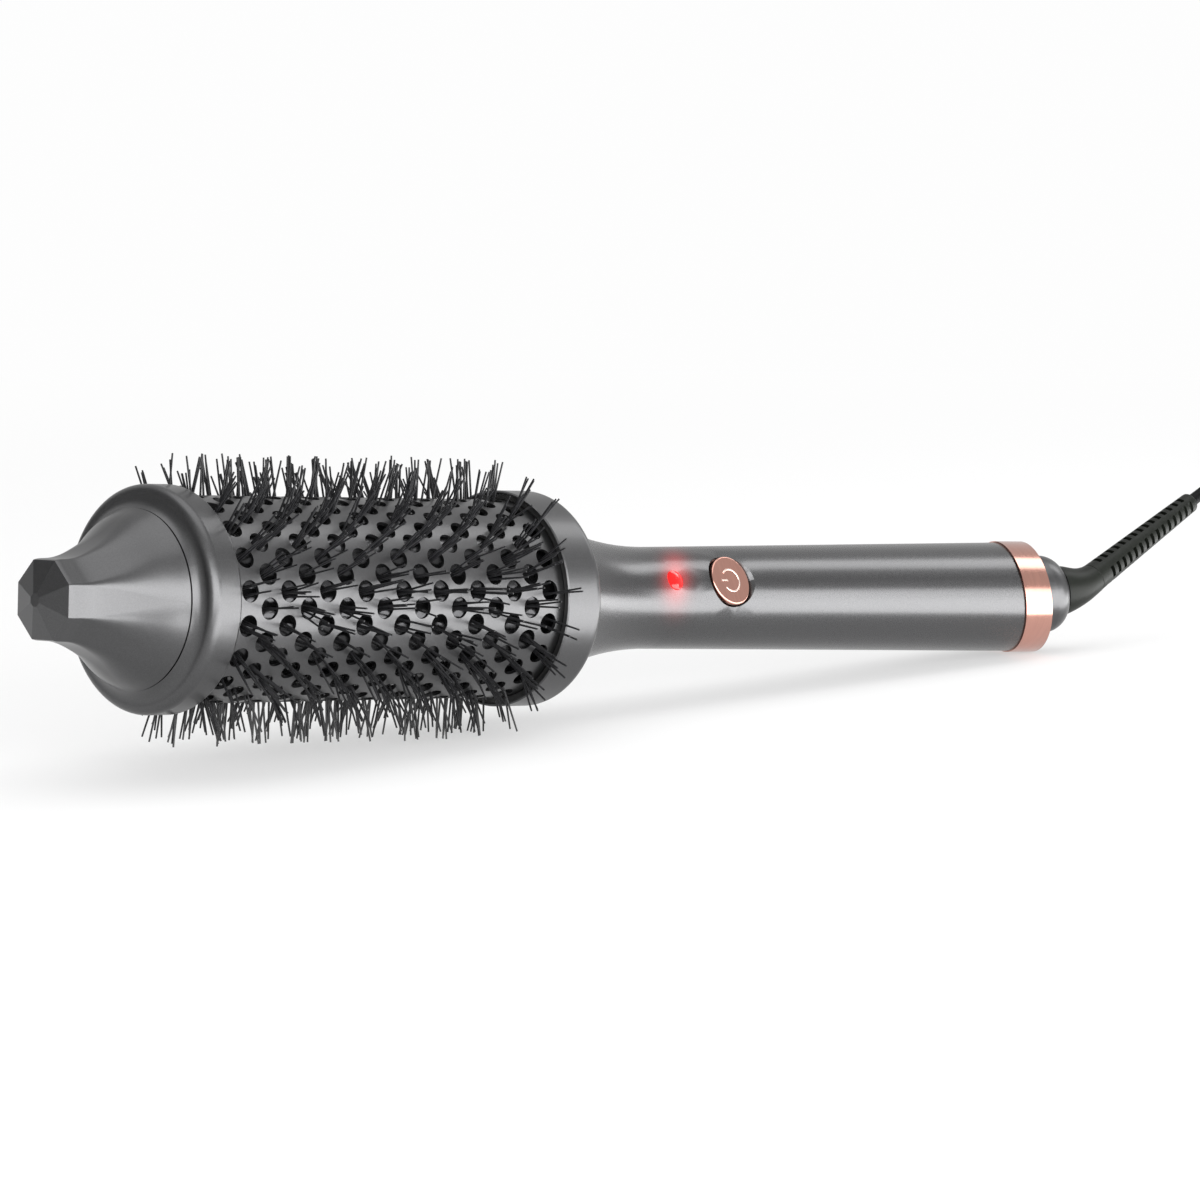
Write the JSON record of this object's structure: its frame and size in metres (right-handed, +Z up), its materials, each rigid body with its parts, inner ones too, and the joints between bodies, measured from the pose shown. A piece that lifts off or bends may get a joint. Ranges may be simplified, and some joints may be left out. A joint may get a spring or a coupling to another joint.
{
  "type": "infrared styling brush",
  "caption": "Round heated styling brush: perforated barrel with bristle rows, cool tip, tapered handle with a power button and light, and a swivelling cord with strain relief.",
  "frame": {"origin": "on the floor under the middle of the brush without its cord, as it lies", "axes": "+X along the brush towards the cord, +Z up"},
  "size_m": [0.6293, 0.0668, 0.0733],
  "materials": {
    "gunmetal_paint": "metallic paint, satin gloss",
    "gunmetal_barrel": "metallic paint, satin gloss",
    "rose_gold": "polished, warm tint",
    "bristle_nylon": "black, slightly glossy",
    "drum_gloss": "dark gloss",
    "insulator": "black, heat resistant",
    "heater_metal": "extruded",
    "heater_film": "amber film",
    "ptc_stone": "fired, matt",
    "sensor_glass": "clear bead",
    "fuse_shell": "plain",
    "chassis_plastic": "moulded",
    "board": "green lacquer",
    "component_black": "moulded",
    "capacitor_case": "moulded",
    "red_lens": "clear red",
    "screw_steel": "plain",
    "contact_plastic": "moulded",
    "boot_rubber": "dark, satin",
    "cord_rubber": "black, satin",
    "plug_plastic": "moulded",
    "blade_metal": "plain"
  },
  "bodies": {
    "brush": {"tip_nose": "gunmetal_paint", "front_cap": "gunmetal_paint", "barrel": "gunmetal_barrel", "bristle_drum": "drum_gloss", "bristle_strips": "bristle_nylon", "barrel_collar": "gunmetal_paint", "rear_insulator_ring": "insulator", "heater_core": "heater_metal", "heater_insulation": "heater_film", "heater_plates": "ptc_stone", "thermal_fuse": "fuse_shell", "temperature_sensor": "sensor_glass", "handle_shell": "gunmetal_paint", "accent_ring": "rose_gold", "end_cap": "gunmetal_paint", "swivel_contacts": "contact_plastic", "led_lens": "red_lens", "indicator_led": "red_lens", "handle_chassis": "chassis_plastic", "control_board": "board", "board_screws": "screw_steel", "push_switch": "component_black", "filter_capacitor": "capacitor_case", "triac": "component_black"},
    "button": {"power_button": "rose_gold", "switch_plunger": "chassis_plastic"},
    "swivel": {"swivel_hub": "contact_plastic", "boot_elbow": "boot_rubber", "strain_relief": "boot_rubber", "cord": "cord_rubber", "cord_coil": "cord_rubber", "cord_tail": "cord_rubber", "cord_tie": "cord_rubber", "plug_body": "plug_plastic", "plug_blades": "blade_metal"}
  },
  "joints": [
    {"name": "power_press", "type": "slide", "parent": "brush", "child": "button", "axis": [-0.0371, 0.9029, -0.4283], "range_m": [0, 0.0009], "stiffness_N_per_m": 900},
    {"name": "cord_swivel", "type": "hinge", "parent": "brush", "child": "swivel", "pos_m": [0.13922, 0, 0.01502], "axis": [0.9117, -0.3958, 0.1102], "continuous": true}
  ]
}
